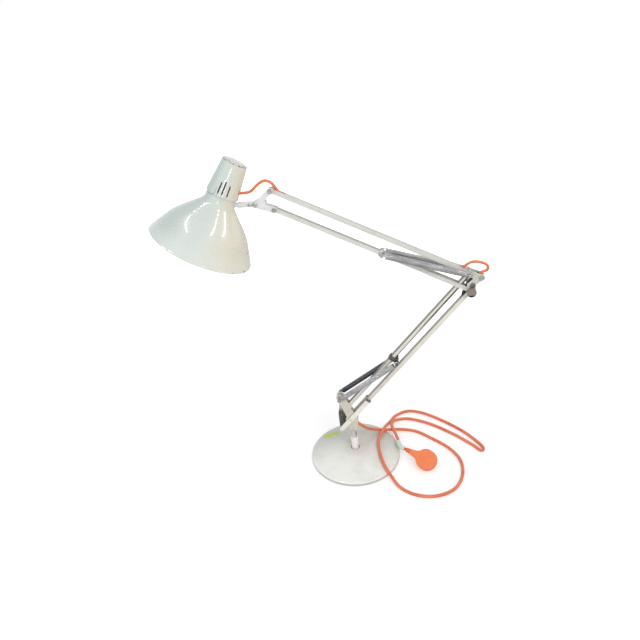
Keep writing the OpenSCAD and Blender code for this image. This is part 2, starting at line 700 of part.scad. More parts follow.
module neck_housing() color("lightcyan") {
    top = shade_h - cap_t;
    difference() {
        shade_place() difference() {
            translate([0, 0, neck_from]) cylinder(r1 = neck_low_r, r2 = neck_r(top), h = top - neck_from);
            translate([0, 0, neck_from - eps]) cylinder(r1 = neck_low_r - shade_wall,
                r2 = neck_r(top) - shade_wall, h = top - neck_from + 2 * eps);
            for (v = vent_slots) rotate([0, 0, v[0]]) translate([collar_r - 6, 0, 0]) rotate([90, 0, 90])
                linear_extrude(14) stadium([0, v[1]], [0, v[2]], vent_w / 2);
        }
        at([head_cable_route[0][0], head_cable_route[0][2]]) rotate([0, 90, 0])
            cylinder(r = cable_d / 2 + 0.5, h = 20);
    }
}
module top_cap() color("lightcyan") shade_place() {
    translate([0, 0, shade_h - cap_t]) cylinder(r1 = neck_r(shade_h - cap_t), r2 = neck_top_r - 0.5, h = cap_t);
    translate([0, 0, shade_h - cap_t - 3]) cylinder(r = neck_top_r - shade_wall - 0.1, h = 3.5);
}
holder_from = 112;
holder_h = 46;
socket_depth = 34;
socket_bore_r = 13.4;
module lampholder() color("dimgray") shade_place() {
    difference() {
        translate([0, 0, holder_from]) union() {
            cylinder(d = holder_d, h = holder_h - 10);
            translate([0, 0, holder_h - 10]) cylinder(d1 = holder_d, d2 = holder_d - 16, h = 10);
        }
        translate([0, 0, holder_from - 1]) cylinder(r = socket_bore_r, h = socket_depth + 1);
    }
}
module lamp_contact() color("gold") shade_place()
    translate([0, 0, holder_from + socket_depth - 1.5]) cylinder(r = 5, h = 1.5);
holder_bracket_w = 12;
holder_bracket_h = 14.5;
holder_leg = 12;
module holder_bracket() color("silver") {
    leg_in = socket_bore_r + 1.2;
    below_stud = 5;
    clear = 8;
    difference() {
        union() {
            rolled() translate([-plate_x - plate_t, -holder_bracket_w / 2, -below_stud])
                cube([plate_t, holder_bracket_w, holder_bracket_h]);
            shade_place() translate([leg_in, -holder_bracket_w / 2, holder_from - holder_leg])
                cube([plate_t, holder_bracket_w, holder_leg]);
        }
        at(tilt_pivot) rotate([0, -90, 0]) cylinder(r = bolt_r + run_fit, h = stud_length + 5);
        rolled() translate([-plate_x - plate_t - clear, -holder_bracket_w / 2 - 1, -clear])
            cube([clear - eps, holder_bracket_w + 2, holder_bracket_h]);
    }
}

base_shell();
base_weight();
base_pad();
socket_tube();
swivel_bush();
tape_patch();
spigot();
bracket_near_plate();
bracket_far_plate();
pivot_pins();
spring_anchor();
cord_grommet();
floor_cord();
cord_sleeve();
plug_body();
plug_pins();
lower_spring_near();
lower_spring_far();
lower_main_tube();
foot_channel();
foot_rivets();
lower_link_tube();
lower_spring_clip();
elbow_near_plate();
elbow_far_plate();
elbow_bolts();
elbow_nuts();
elbow_rivets();
elbow_knob();
upper_spring_near();
upper_spring_far();
elbow_cable();
upper_bottom_tube();
upper_top_tube();
upper_spring_clip();
head_near_plate();
head_far_plate();
head_bolts();
head_nuts();
head_cable();
head_strap();
stud_nut();
strap_screw();
shade_bell();
neck_housing();
top_cap();
lampholder();
holder_bracket();
lamp_contact();
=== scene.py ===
import json
import math

import bmesh
import bpy
from mathutils import Matrix, Vector

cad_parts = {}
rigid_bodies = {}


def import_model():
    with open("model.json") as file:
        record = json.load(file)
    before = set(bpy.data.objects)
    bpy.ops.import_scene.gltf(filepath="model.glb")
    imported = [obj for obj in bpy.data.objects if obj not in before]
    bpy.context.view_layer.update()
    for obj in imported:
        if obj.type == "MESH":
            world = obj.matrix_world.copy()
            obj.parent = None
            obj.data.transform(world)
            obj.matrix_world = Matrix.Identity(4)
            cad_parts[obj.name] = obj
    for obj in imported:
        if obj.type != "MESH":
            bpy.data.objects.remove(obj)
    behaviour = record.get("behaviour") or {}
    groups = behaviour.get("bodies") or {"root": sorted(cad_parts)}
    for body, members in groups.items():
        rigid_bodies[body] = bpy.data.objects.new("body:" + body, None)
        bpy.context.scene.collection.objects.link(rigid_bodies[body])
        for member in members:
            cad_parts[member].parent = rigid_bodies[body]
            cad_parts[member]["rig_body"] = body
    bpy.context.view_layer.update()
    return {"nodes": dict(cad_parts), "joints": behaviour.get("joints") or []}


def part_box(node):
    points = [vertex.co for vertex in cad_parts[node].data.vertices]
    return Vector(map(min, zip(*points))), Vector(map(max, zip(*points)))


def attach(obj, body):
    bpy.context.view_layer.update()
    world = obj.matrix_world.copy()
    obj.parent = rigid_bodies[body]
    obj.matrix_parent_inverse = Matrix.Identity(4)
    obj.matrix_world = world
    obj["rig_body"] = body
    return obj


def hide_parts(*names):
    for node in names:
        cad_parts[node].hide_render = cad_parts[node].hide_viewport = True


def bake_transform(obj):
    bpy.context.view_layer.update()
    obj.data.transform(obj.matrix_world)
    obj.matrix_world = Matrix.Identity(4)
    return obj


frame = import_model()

# Base cover
# A dish pressed from sheet steel and stoved with pale enamel, domed on top, its edge turned down.
# It drops over the casting. Years of use have stained it round the bush and chipped its edge.


def add(tree, kind, settings=None, inputs=None):
    """One shader node, with its settings, and its inputs given as values or linked"""
    made = tree.nodes.new(kind)
    for key, value in (settings or {}).items():
        setattr(made, key, value)
    for key, value in (inputs or {}).items():
        if isinstance(value, bpy.types.NodeSocket):
            tree.links.new(value, made.inputs[key])
        else:
            made.inputs[key].default_value = value
    return made


def calculate(tree, operation, first, second=0.0):
    return add(tree, "ShaderNodeMath", {"operation": operation}, {0: first, 1: second}).outputs[0]


def calculate_vector(tree, operation, inputs, result="Vector"):
    return add(tree, "ShaderNodeVectorMath", {"operation": operation}, inputs).outputs[result]


def own_place(tree):
    """Where a point is, in the piece's own coordinates"""
    return add(tree, "ShaderNodeTexCoord").outputs["Object"]


def step_up(tree, value, low, high, top=1.0):
    """0 below low, rising to top above high"""
    inputs = {"Value": value, "From Min": low, "From Max": high, "To Max": top}
    return add(tree, "ShaderNodeMapRange", {"interpolation_type": "SMOOTHSTEP"}, inputs).outputs[0]


def mix_colours(tree, share, first, second):
    return add(tree, "ShaderNodeMix", {"data_type": "RGBA"}, {0: share, 6: first, 7: second}).outputs[2]


def cloudy(tree, place, scale, detail=4.0, roughness=0.55):
    inputs = {"Vector": place, "Scale": scale, "Detail": detail, "Roughness": roughness}
    return add(tree, "ShaderNodeTexNoise", None, inputs).outputs[0]


def new_group(name, sockets_in, sockets_out):
    """An empty shader group with its sockets, and its input and output nodes"""
    tree = bpy.data.node_groups.new(name, "ShaderNodeTree")
    for label, value in sockets_in.items():
        kind = "NodeSocketColor" if isinstance(value, tuple) else "NodeSocketFloat"
        socket = tree.interface.new_socket(label, in_out="INPUT", socket_type=kind)
        socket.default_value = value
    for label, kind in sockets_out.items():
        tree.interface.new_socket(label, in_out="OUTPUT", socket_type=kind)
    return tree, tree.nodes.new("NodeGroupInput").outputs, tree.nodes.new("NodeGroupOutput")


def old_enamel_group():
    """Enamel with cloudy stains, small dirt specks, and chips down to the primer and the metal"""
    tree, given, result = new_group(
        "old_enamel",
        {"Paint": (0.8, 0.8, 0.8, 1), "Stain": (0.5, 0.4, 0.3, 1), "Bare": (0.1, 0.08, 0.07, 1),
         "Patches": 30.0, "Stained": 0.4, "Chip level": 0.74, "Edge": 0.0},
        {"Colour": "NodeSocketColor", "Roughness": "NodeSocketFloat", "Height": "NodeSocketFloat"})
    place = own_place(tree)
    speck_scale = 520.0
    grain_scale = 240.0
    flake_scale = 150.0
    clouds = cloudy(tree, place, given["Patches"], 6.0, 0.62)
    stain = calculate(tree, "MULTIPLY", step_up(tree, clouds, 0.42, 0.78), given["Stained"])
    specks = step_up(tree, cloudy(tree, place, speck_scale, 2.0), 0.70, 0.76, 0.55)
    grain = cloudy(tree, place, grain_scale, 3.0)
    flake = cloudy(tree, place, flake_scale, 5.0, 0.7)
    edge_help = calculate(tree, "MULTIPLY", given["Edge"], 0.24)
    level = calculate(tree, "SUBTRACT", given["Chip level"], edge_help)
    above = calculate(tree, "SUBTRACT", flake, level)
    chip = step_up(tree, above, 0.0, 0.012)
    worn = mix_colours(tree, stain, given["Paint"], given["Stain"])
    dirty = mix_colours(tree, calculate(tree, "MULTIPLY", specks, given["Stained"]), worn, given["Stain"])
    colour = mix_colours(tree, chip, dirty, given["Bare"])
    dull = calculate(tree, "MULTIPLY", grain, 0.16)
    rough = calculate(tree, "ADD", calculate(tree, "ADD", dull, 0.18), calculate(tree, "MULTIPLY", chip, 0.4))
    rougher = calculate(tree, "ADD", rough, calculate(tree, "MULTIPLY", stain, 0.25))
    height = calculate(tree, "SUBTRACT", calculate(tree, "MULTIPLY", grain, 0.12), chip)
    tree.links.new(colour, result.inputs["Colour"])
    tree.links.new(rougher, result.inputs["Roughness"])
    tree.links.new(height, result.inputs["Height"])
    return tree


old_enamel = old_enamel_group()


def blank_material(name):
    material = bpy.data.materials.new(name)
    material.use_nodes = True
    return material, material.node_tree, material.node_tree.nodes["Principled BSDF"]


def bump_into(tree, shader, height, distance):
    bump = add(tree, "ShaderNodeBump", None, {"Height": height, "Strength": 0.6, "Distance": distance})
    tree.links.new(bump.outputs["Normal"], shader.inputs["Normal"])


def enamel(name, edge_mask=None, tints=(), gloss=0.25, **values):
    """Old enamel, with a mask that brings on chips, and each further tint where its mask says"""
    material, tree, shader = blank_material(name)
    inputs = {key.replace("_", " ").capitalize(): value for key, value in values.items()}
    if edge_mask:
        inputs["Edge"] = edge_mask(tree)
    for mask, tint in tints:
        inputs["Paint"] = mix_colours(tree, mask(tree), inputs["Paint"], tint)
    layer = add(tree, "ShaderNodeGroup", {"node_tree": old_enamel}, inputs)
    tree.links.new(layer.outputs["Colour"], shader.inputs["Base Color"])
    tree.links.new(layer.outputs["Roughness"], shader.inputs["Roughness"])
    shader.inputs["Coat Weight"].default_value = gloss
    shader.inputs["Coat Roughness"].default_value = 0.05
    bump_into(tree, shader, layer.outputs["Height"], 0.0002)
    return material


weld_reach = 1e-6


def turned(profile, steps=160):
    """A closed outline of (radius, height) points, spun about Z"""
    shape = bmesh.new()
    points = [shape.verts.new((radius, 0, height)) for radius, height in profile]
    edges = [shape.edges.new(ends) for ends in zip(points, points[1:] + points[:1])]
    bmesh.ops.spin(shape, geom=points + edges, cent=(0, 0, 0), axis=(0, 0, 1), dvec=(0, 0, 0),
                   angle=math.tau, steps=steps, use_merge=True, use_duplicate=False)
    bmesh.ops.remove_doubles(shape, verts=shape.verts, dist=weld_reach)
    bmesh.ops.recalc_face_normals(shape, faces=shape.faces)
    return shape


def as_object(name, shape, material, sharp=35):
    for face in shape.faces:
        face.smooth = True
    mesh = bpy.data.meshes.new(name)
    shape.to_mesh(mesh)
    shape.free()
    mesh.set_sharp_from_angle(angle=math.radians(sharp))
    mesh.materials.append(material)
    piece = bpy.data.objects.new(name, mesh)
    bpy.context.scene.collection.objects.link(piece)
    return piece


def stand_in(piece, *nodes):
    """A finished piece rides on its solids' body and is shown in their place"""
    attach(piece, frame["nodes"][nodes[0]]["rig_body"])
    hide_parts(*nodes)
    return piece


def from_axis(tree):
    """How far a point is from the upright through the origin"""
    flat = calculate_vector(tree, "MULTIPLY", {0: own_place(tree), 1: (1, 1, 0)})
    return calculate_vector(tree, "LENGTH", {0: flat}, "Value")


base_radius = 0.102
base_edge = 0.008
base_rise = 0.022
base_wall = 0.0012
hub_hole = 0.0104
dome_drop = base_rise - base_edge
dome_radius = (base_radius ** 2 + dome_drop ** 2) / (2 * dome_drop)


def dome_height(radius):
    return base_rise - dome_radius + math.sqrt(dome_radius ** 2 - radius ** 2)


dome_rings = 14
edge_turns = [math.radians(angle) for angle in (75, 60, 45, 30, 15, 0)]
edge_round = 0.0045
edge_centre = (base_radius - edge_round, dome_height(base_radius - edge_round) - edge_round)
# The foot of the turned-down edge: its heights, and how far the lower two turn in
lip_top = 0.0025
lip_low = 0.0012
lip_foot = 0.001
lip_in = (0.0003, 0.0009)
ring_radii = [hub_hole + (edge_centre[0] - hub_hole) * k / dome_rings for k in range(dome_rings + 1)]
cover_outer = [(radius, dome_height(radius)) for radius in ring_radii]
cover_outer += [(edge_centre[0] + edge_round * math.cos(a), edge_centre[1] + edge_round * math.sin(a))
                for a in edge_turns]
cover_outer += [(base_radius, lip_top), (base_radius - lip_in[0], lip_low),
                (base_radius - lip_in[1], lip_foot)]
cover_inner = [(base_radius - base_wall, lip_low), (base_radius - base_wall, base_edge - base_wall)]
cover_inner += [(radius, dome_height(radius) - base_wall) for radius in reversed(ring_radii[:-1])]


def split_axes(tree, place):
    """X, Y and Z of a place"""
    return add(tree, "ShaderNodeSeparateXYZ", None, {0: place}).outputs


def place_axes(tree):
    """X, Y and Z of a point on the piece"""
    return split_axes(tree, own_place(tree))


def painted_light_front(tree):
    """Painted light: the front of the cover, painted lighter"""
    return step_up(tree, place_axes(tree)["Y"], 0.06, -0.06)


def grubby_hub(tree):
    return step_up(tree, from_axis(tree), 0.040, 0.012, 0.45)


def painted_shade_edge(tree):
    """Painted shade: a thin dark line round the foot of the turned-down edge, under its roll"""
    return step_up(tree, place_axes(tree)["Z"], base_edge - 0.0012, base_edge - 0.0030, 0.5)


base_paint = enamel(
    "base_enamel", edge_mask=lambda tree: step_up(tree, from_axis(tree), 0.0975, 0.1012, 0.4),
    # Painted light makes the cover's front lighter
    tints=((painted_light_front, (0.94, 0.95, 0.90, 1)), (grubby_hub, (0.60, 0.50, 0.46, 1)),
           # Painted shade darkens the foot of the cover's edge
           (painted_shade_edge, (0.22, 0.21, 0.20, 1))),
    paint=(0.60, 0.61, 0.56, 1), stain=(0.56, 0.53, 0.47, 1), bare=(0.12, 0.10, 0.09, 1),
    patches=26.0, stained=0.4, chip_level=0.80)
stand_in(as_object("base_cover", turned(cover_outer + cover_inner), base_paint), "base_shell")

# Casting, felt and socket
# A disc of cast iron fills the cover, with felt glued under it, and a steel tube pressed into its hole.
# They show only from below and round the bush.


def plain_finish(name, colour, roughness, metallic=0.0, spread=0.12, scale=300.0, depth=0.0001, tint=None):
    """A finish with uneven gloss and tone, for metal, moulding or cloth"""
    material, tree, shader = blank_material(name)
    place = own_place(tree)
    fine = cloudy(tree, place, scale, 4.0)
    broad = cloudy(tree, place, scale / 9, 3.0)
    shade = tint or tuple(0.72 * c for c in colour)
    mask = step_up(tree, broad, 0.38, 0.72, 0.7)
    tree.links.new(mix_colours(tree, mask, (*colour, 1), (*shade, 1)), shader.inputs["Base Color"])
    uneven = calculate(tree, "MULTIPLY", fine, spread * 2)
    tree.links.new(calculate(tree, "ADD", uneven, roughness - spread), shader.inputs["Roughness"])
    shader.inputs["Metallic"].default_value = metallic
    bump_into(tree, shader, fine, depth)
    return material


cast_iron = plain_finish("cast_iron", (0.09, 0.09, 0.09), 0.7, 0.6, scale=600.0, depth=0.0004)
felt = plain_finish("felt", (0.05, 0.07, 0.06), 0.95, spread=0.04, scale=1800.0, depth=0.0006)
steel = plain_finish("dull_steel", (0.50, 0.50, 0.49), 0.38, 1.0, tint=(0.34, 0.32, 0.30))


def rounded(node, material, radius):
    """A copy of a solid with its sharp edges rounded, as pressing, turning or painting leaves them"""
    flat = math.radians(0.5)
    corner = math.radians(40)
    shape = bmesh.new()
    shape.from_mesh(frame["nodes"][node].data)
    bmesh.ops.remove_doubles(shape, verts=shape.verts, dist=weld_reach)
    bmesh.ops.dissolve_limit(shape, angle_limit=flat, verts=shape.verts, edges=shape.edges)
    sharp = [edge for edge in shape.edges if edge.calc_face_angle(0) > corner]
    bmesh.ops.bevel(shape, geom=sharp, offset=radius, offset_type="OFFSET", segments=2, profile=0.5,
                    affect="EDGES", clamp_overlap=True, material=-1)
    return stand_in(as_object(node + "_finished", shape, material), node)


cut_edge = 0.0003
for node, material in (("base_weight", cast_iron), ("base_pad", felt), ("socket_tube", steel)):
    rounded(node, material, cut_edge)

# Swivel bush and spigot
# The arm turns on a round steel spigot that stands in a nylon bush, pushed into the socket.
# The spigot is polished by turning, and the bush has discoloured in patches.
nylon = plain_finish("bush_nylon", (0.97, 0.93, 0.92), 0.42, tint=(0.90, 0.81, 0.78), scale=220.0)
polished = plain_finish("polished_steel", (0.78, 0.78, 0.77), 0.14, 1.0, spread=0.06)
bush_edge = 0.0008
rounded("swivel_bush", nylon, bush_edge)
rounded("spigot", polished, cut_edge)

# Tape
# A torn strip of yellow-green tape, stuck on the back left of the base. It is thin, so its edges
# stay nearly sharp.
tape_green = plain_finish("tape_green", (0.56, 0.74, 0.09), 0.5, tint=(0.46, 0.62, 0.16), scale=420.0)
tape_edge = 0.0001
rounded("tape_patch", tape_green, tape_edge)

# Swivel bracket
# Two cheeks cut from enamelled sheet, riveted to the spigot's tongue. They carry the two lower
# pivots and the studs of the lower springs, and the cord leaves between them through a grommet.
plate_paint = {"paint": (0.72, 0.68, 0.59, 1), "stain": (0.42, 0.36, 0.28, 1), "bare": (0.08, 0.06, 0.05, 1),
               "patches": 60.0, "stained": 0.4, "chip_level": 0.70}


def painted_shade_wing(tree):
    """Painted shade: the far plate's wing, behind the arm's foot, painted black where shade falls between the
    cheeks
    """
    axes = place_axes(tree)
    behind = step_up(tree, axes["X"], -0.008, -0.016)
    return calculate(tree, "MULTIPLY", behind, step_up(tree, axes["Z"], 0.135, 0.120, 0.95))


near_enamel = enamel("near_plate_enamel", **plate_paint)
# The far plate's wing is painted black as painted shade
far_enamel = enamel("far_plate_enamel", tints=((painted_shade_wing, (0.03, 0.026, 0.022, 1)),), **plate_paint)
rubber = plain_finish("black_rubber", (0.03, 0.03, 0.03), 0.6)
sheet_edge = 0.0004
rubber_edge = 0.0005
rounded("bracket_near_plate", near_enamel, sheet_edge)
rounded("bracket_far_plate", far_enamel, sheet_edge)
rounded("pivot_pins", near_enamel, cut_edge)
rounded("spring_anchor", steel, cut_edge)
rounded("cord_grommet", rubber, rubber_edge)

# Lower arm
# A square steel tube runs from the bracket to the elbow, sleeved at its foot by a folded channel.
# A second tube above it keeps the elbow upright. A clip on that tube holds the springs.
# The upper face of every tube is painted darker, as painted shade.
pivot = {joint["name"]: Vector(joint["pos_m"]) for joint in frame["joints"]}
lower_way = (pivot["elbow"] - pivot["lower_arm"]).normalized()


def turned_axes(tree, start, turn):
    """X, Y and Z of a point in axes that start elsewhere and are turned there"""
    inputs = {"Vector": own_place(tree), "Location": start, "Rotation": turn}
    turned_place = add(tree, "ShaderNodeMapping", {"vector_type": "TEXTURE"}, inputs).outputs[0]
    return split_axes(tree, turned_place)


def tube_frame(tree, start, way):
    """Object coordinates with X along a tube from its lower pivot and Z up from its centre line"""
    return turned_axes(tree, start, (0, -math.atan2(way.z, way.x), 0))


def painted_shade_top(start, way, share):
    """A mask of painted shade over the upper face of a tube"""
    return lambda tree: step_up(tree, tube_frame(tree, start, way)["Z"], 0.0033, 0.0044, share)


def link_painted_shade(tree):
    """Painted shade on the lower link: its top, and its lower edge, which is blackest towards the elbow"""
    axes = tube_frame(tree, pivot["lower_link"], lower_way)
    top = step_up(tree, axes["Z"], 0.0030, 0.0040, 0.8)
    low = calculate(tree, "MULTIPLY", step_up(tree, axes["Z"], -0.0020, -0.0034),
                    step_up(tree, axes["X"], -0.1, 0.2))
    near_elbow = calculate(tree, "MULTIPLY", step_up(tree, axes["Z"], -0.0002, -0.0016),
                           step_up(tree, axes["X"], 0.21, 0.29))
    return calculate(tree, "MAXIMUM", top, calculate(tree, "MAXIMUM", low, near_elbow))


def channel_painted_shade(tree):
    """Painted shade on the foot channel: its dark upper end, where the tube enters it, and its top"""
    axes = tube_frame(tree, pivot["lower_arm"], lower_way)
    return calculate(tree, "MAXIMUM", step_up(tree, axes["X"], 0.0655, 0.0672),
                     step_up(tree, axes["Z"], 0.0045, 0.0055, 0.6))


lower_paint = {"paint": (0.82, 0.79, 0.70, 1), "stain": (0.52, 0.46, 0.37, 1), "bare": (0.10, 0.075, 0.06, 1),
               "patches": 34.0, "stained": 0.42, "chip_level": 0.735}
# Painted shade darkens the main tube's upper face
main_painted_shade = painted_shade_top(pivot["lower_arm"], lower_way, 0.8)
main_enamel = enamel("lower_main_enamel", tints=((main_painted_shade, (0.20, 0.18, 0.14, 1)),), **lower_paint)
# Painted shade darkens the link's top and its lower edge
link_enamel = enamel("lower_link_enamel", tints=((link_painted_shade, (0.06, 0.052, 0.042, 1)),), **lower_paint)
channel_paint = dict(lower_paint, paint=(0.93, 0.90, 0.83, 1), stained=0.2)
# Painted shade darkens the channel's upper end and its top
channel_enamel = enamel("channel_enamel", tints=((channel_painted_shade, (0.075, 0.045, 0.03, 1)),), **channel_paint)
dark_steel = plain_finish("blackened_steel", (0.16, 0.155, 0.15), 0.42, 0.9, tint=(0.10, 0.08, 0.07))
tube_corner = 0.0009
folded_edge = 0.0005
rounded("lower_main_tube", main_enamel, tube_corner)
rounded("foot_channel", channel_enamel, folded_edge)
rounded("foot_rivets", channel_enamel, cut_edge)
rounded("lower_link_tube", link_enamel, tube_corner)
rounded("lower_spring_clip", dark_steel, sheet_edge)

# Elbow
# Two enamelled cheeks hold both arms' pivot bolts and a spacer. The friction knob clamps them.
# Its face is worn to brown-grey, and it is coloured black along its lower edge.
elbow_enamel = enamel("arm_enamel", paint=(0.66, 0.645, 0.585, 1), stain=(0.45, 0.40, 0.32, 1),
                      bare=(0.10, 0.075, 0.06, 1), patches=34.0, stained=0.4, chip_level=0.735)
rivet_grey = plain_finish("rivet_grey", (0.20, 0.19, 0.17), 0.5, 0.3)
rivet_edge = 0.0004
for node in ("elbow_near_plate", "elbow_far_plate"):
    rounded(node, elbow_enamel, sheet_edge)
for node in ("elbow_bolts", "elbow_nuts"):
    rounded(node, steel, cut_edge)
rounded("elbow_rivets", rivet_grey, rivet_edge)
black_from = 0.0042
black_to = 0.0058


def knob_finish():
    """Worn moulding, coloured black along the knob's lower edge"""
    material, tree, shader = blank_material("worn_knob")
    low = step_up(tree, place_axes(tree)["Z"], pivot["elbow"].z - black_from, pivot["elbow"].z - black_to)
    fine = cloudy(tree, own_place(tree), 700.0)
    face = mix_colours(tree, step_up(tree, fine, 0.4, 0.7), (0.29, 0.25, 0.21, 1), (0.20, 0.16, 0.13, 1))
    tree.links.new(mix_colours(tree, low, face, (0.012, 0.010, 0.009, 1)), shader.inputs["Base Color"])
    shader.inputs["Roughness"].default_value = 0.34
    bump_into(tree, shader, fine, 0.0001)
    return material


rounded("elbow_knob", knob_finish(), cut_edge)

# Upper arm
# Two square tubes, enamelled a little greyer, each ending in a fork of two cheeks at the elbow.
# The bottom one carries the clip of the upper springs, and the top one has slots for the cable.
upper_way = (pivot["upper_link"] - pivot["head_level"]).normalized()
upper_paint = {"paint": (0.74, 0.735, 0.69, 1), "stain": (0.52, 0.49, 0.42, 1), "bare": (0.14, 0.12, 0.11, 1),
               "patches": 34.0, "stained": 0.35, "chip_level": 0.75}
for node, end, share in (("upper_bottom_tube", pivot["upper_arm"], 0.75),
                         ("upper_top_tube", pivot["upper_link"], 0.35)):
    # Painted shade darkens each upper tube's upper face
    shaded_top_face = painted_shade_top(end, upper_way, share)
    tube_enamel = enamel(node + "_enamel", tints=((shaded_top_face, (0.24, 0.22, 0.19, 1)),), **upper_paint)
    rounded(node, tube_enamel, tube_corner)
rounded("upper_spring_clip", steel, sheet_edge)

# Head bracket and strap
# Two cheeks join the upper tubes' ends, and a flat strap tilts between them on a third bolt.
# A stud at the strap's end goes into the shade, which rolls on it.
head_enamel = enamel("head_enamel", paint=(0.80, 0.80, 0.80, 1), stain=(0.56, 0.55, 0.52, 1),
                     bare=(0.10, 0.09, 0.08, 1), patches=60.0, stained=0.3, chip_level=0.74)
for node in ("head_near_plate", "head_far_plate", "head_strap"):
    rounded(node, head_enamel, sheet_edge)
for node in ("head_bolts", "head_nuts", "stud_nut", "strap_screw"):
    rounded(node, steel, cut_edge)

# Springs
# Four extension springs of steel wire, wound close, one pair to each arm. Each ends in a hook
# on a stud. The far one of the lower pair is drawn in a darker steel.
wire = 0.0018
curl_pitch = wire * 1.05
coil_radius = 0.0048
hook_radius = 0.0034
hook_reach = 0.0075
first_hook = range(300, 89, -15)
last_hook = range(90, -121, -15)
steps_a_curl = 14
spring_side = 0.015
lower_clip_reach = 0.1608
lower_clip_drop = 0.0116
upper_clip_reach = 0.185


def spring_line(length):
    """The wire's centre line along X: a hook, close curls and a hook, from 0 to length"""
    curls = round((length - 2 * hook_reach) / curl_pitch)
    steps = curls * steps_a_curl
    line = [Vector((hook_radius * math.cos(math.radians(a)), 0, hook_radius * math.sin(math.radians(a))))
            for a in first_hook]
    line.append(Vector((hook_reach / 2, 0, (hook_radius + coil_radius) / 2)))
    for k in range(steps + 1):
        angle = math.radians(90) + math.tau * k / steps_a_curl
        along = hook_reach + (length - 2 * hook_reach) * k / steps
        line.append(Vector((along, coil_radius * math.cos(angle), coil_radius * math.sin(angle))))
    line.append(Vector((length - hook_reach / 2, 0, (hook_radius + coil_radius) / 2)))
    line += [Vector((length + hook_radius * math.cos(math.radians(a)), 0,
                     hook_radius * math.sin(math.radians(a)))) for a in last_hook]
    return line


def wire_curve(name, line, radius, material, sides=2):
    """A round wire or cord along a line of points"""
    curve = bpy.data.curves.new(name, "CURVE")
    curve.dimensions = "3D"
    curve.bevel_depth = radius
    curve.bevel_resolution = sides
    curve.use_fill_caps = True
    spline = curve.splines.new("POLY")
    spline.points.add(len(line) - 1)
    for point, place in zip(spline.points, line):
        point.co = (*place, 1)
    curve.materials.append(material)
    piece = bpy.data.objects.new(name, curve)
    bpy.context.scene.collection.objects.link(piece)
    return piece


def as_mesh(piece):
    """The same piece with its curve made a mesh"""
    shown = piece.evaluated_get(bpy.context.evaluated_depsgraph_get())
    mesh = bpy.data.meshes.new_from_object(shown)
    name = piece.name
    bpy.data.objects.remove(piece)
    made = bpy.data.objects.new(name, mesh)
    bpy.context.scene.collection.objects.link(made)
    return made


spring_steel = plain_finish("spring_steel", (0.58, 0.58, 0.60), 0.30, 1.0, spread=0.08,
                            tint=(0.36, 0.35, 0.35))
dark_spring = plain_finish("dark_spring", (0.15, 0.16, 0.17), 0.28, 1.0, spread=0.08,
                           tint=(0.07, 0.07, 0.075))
lower_out = Vector((-lower_way.z, 0, lower_way.x))
anchor_low, anchor_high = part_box("spring_anchor")
anchor = (anchor_low + anchor_high) / 2
lower_clip = pivot["lower_link"] + lower_clip_reach * lower_way - lower_clip_drop * lower_out
upper_clip = pivot["upper_arm"] - upper_clip_reach * upper_way
for name, first, last, bodies, far_finish in (
        ("lower_spring", anchor, lower_clip, ("swivel", "lower_link"), dark_spring),
        ("upper_spring", upper_clip, pivot["upper_link"], ("upper_main", "elbow"), spring_steel)):
    way = last - first
    turn = Matrix.Rotation(-math.atan2(way.z, way.x), 4, "Y")
    for side, y, finish in (("near", -spring_side, spring_steel), ("far", spring_side, far_finish)):
        node = f"{name}_{side}"
        place = Matrix.Translation((first.x, y, first.z)) @ turn
        line = [place @ point for point in spring_line(way.length)]
        spring = as_mesh(wire_curve(node + "_wound", line, wire / 2, finish))
        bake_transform(spring)
        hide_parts(node)

# Inner cable
# The mains cable shows in two loops: over the head bracket into the shade, and over the elbow.
# Each loop is made in stretches between the joints that it crosses.


def smooth_line(points, step):
    """A smooth line through points, in steps of about that length"""
    line = []
    for i in range(len(points) - 1):
        before, here = points[max(i - 1, 0)], points[i]
        there, after = points[i + 1], points[min(i + 2, len(points) - 1)]
        steps = max(1, round((there - here).length / step))
        for k in range(steps):
            u = k / steps
            straight = 2 * here + (there - before) * u
            bend = (2 * before - 5 * here + 4 * there - after) * u ** 2
            twist = (3 * here - before - 3 * there + after) * u ** 3
            line.append((straight + bend + twist) / 2)
    return line + [points[-1]]


cable_radius = 0.0028
cable_step = 0.002
elbow_route = [pivot["elbow"] + Vector((x, 0, z)) for x, z in (
    (-0.0267, 0.0468), (-0.0207, 0.0443), (-0.0162, 0.0458), (-0.0102, 0.0508), (-0.0027, 0.0553),
    (0.0073, 0.0568), (0.0183, 0.0543), (0.0253, 0.0511), (0.0298, 0.0453), (0.0283, 0.0391),
    (0.0218, 0.0363), (0.0143, 0.0339), (0.0063, 0.0278), (-0.0002, 0.0198), (-0.0062, 0.0113),
    (-0.0107, 0.0023), (-0.0132, -0.0052), (-0.0142, -0.0127))]
head_route = [pivot["head_level"] + Vector((x, 0, z)) for x, z in (
    (-0.0677, -0.0021), (-0.0617, -0.0021), (-0.0547, -0.0019), (-0.0457, -0.0017), (-0.0377, 0.0003),
    (-0.0307, 0.0053), (-0.0237, 0.0113), (-0.0157, 0.0161), (-0.0077, 0.0178), (-0.0002, 0.0153),
    (0.0053, 0.0103), (0.0088, 0.0048), (0.0118, -0.0002), (0.0153, -0.0047), (0.0203, -0.0091),
    (0.0258, -0.0128))]
# The sheath is orange, and from inside the elbow down it runs in a black sleeve
sheath = plain_finish("cable_sheath", (0.84, 0.22, 0.10), 0.3, tint=(0.62, 0.12, 0.05), scale=260.0)
sleeve_black = plain_finish("cable_sleeve", (0.02, 0.02, 0.02), 0.4, scale=260.0)
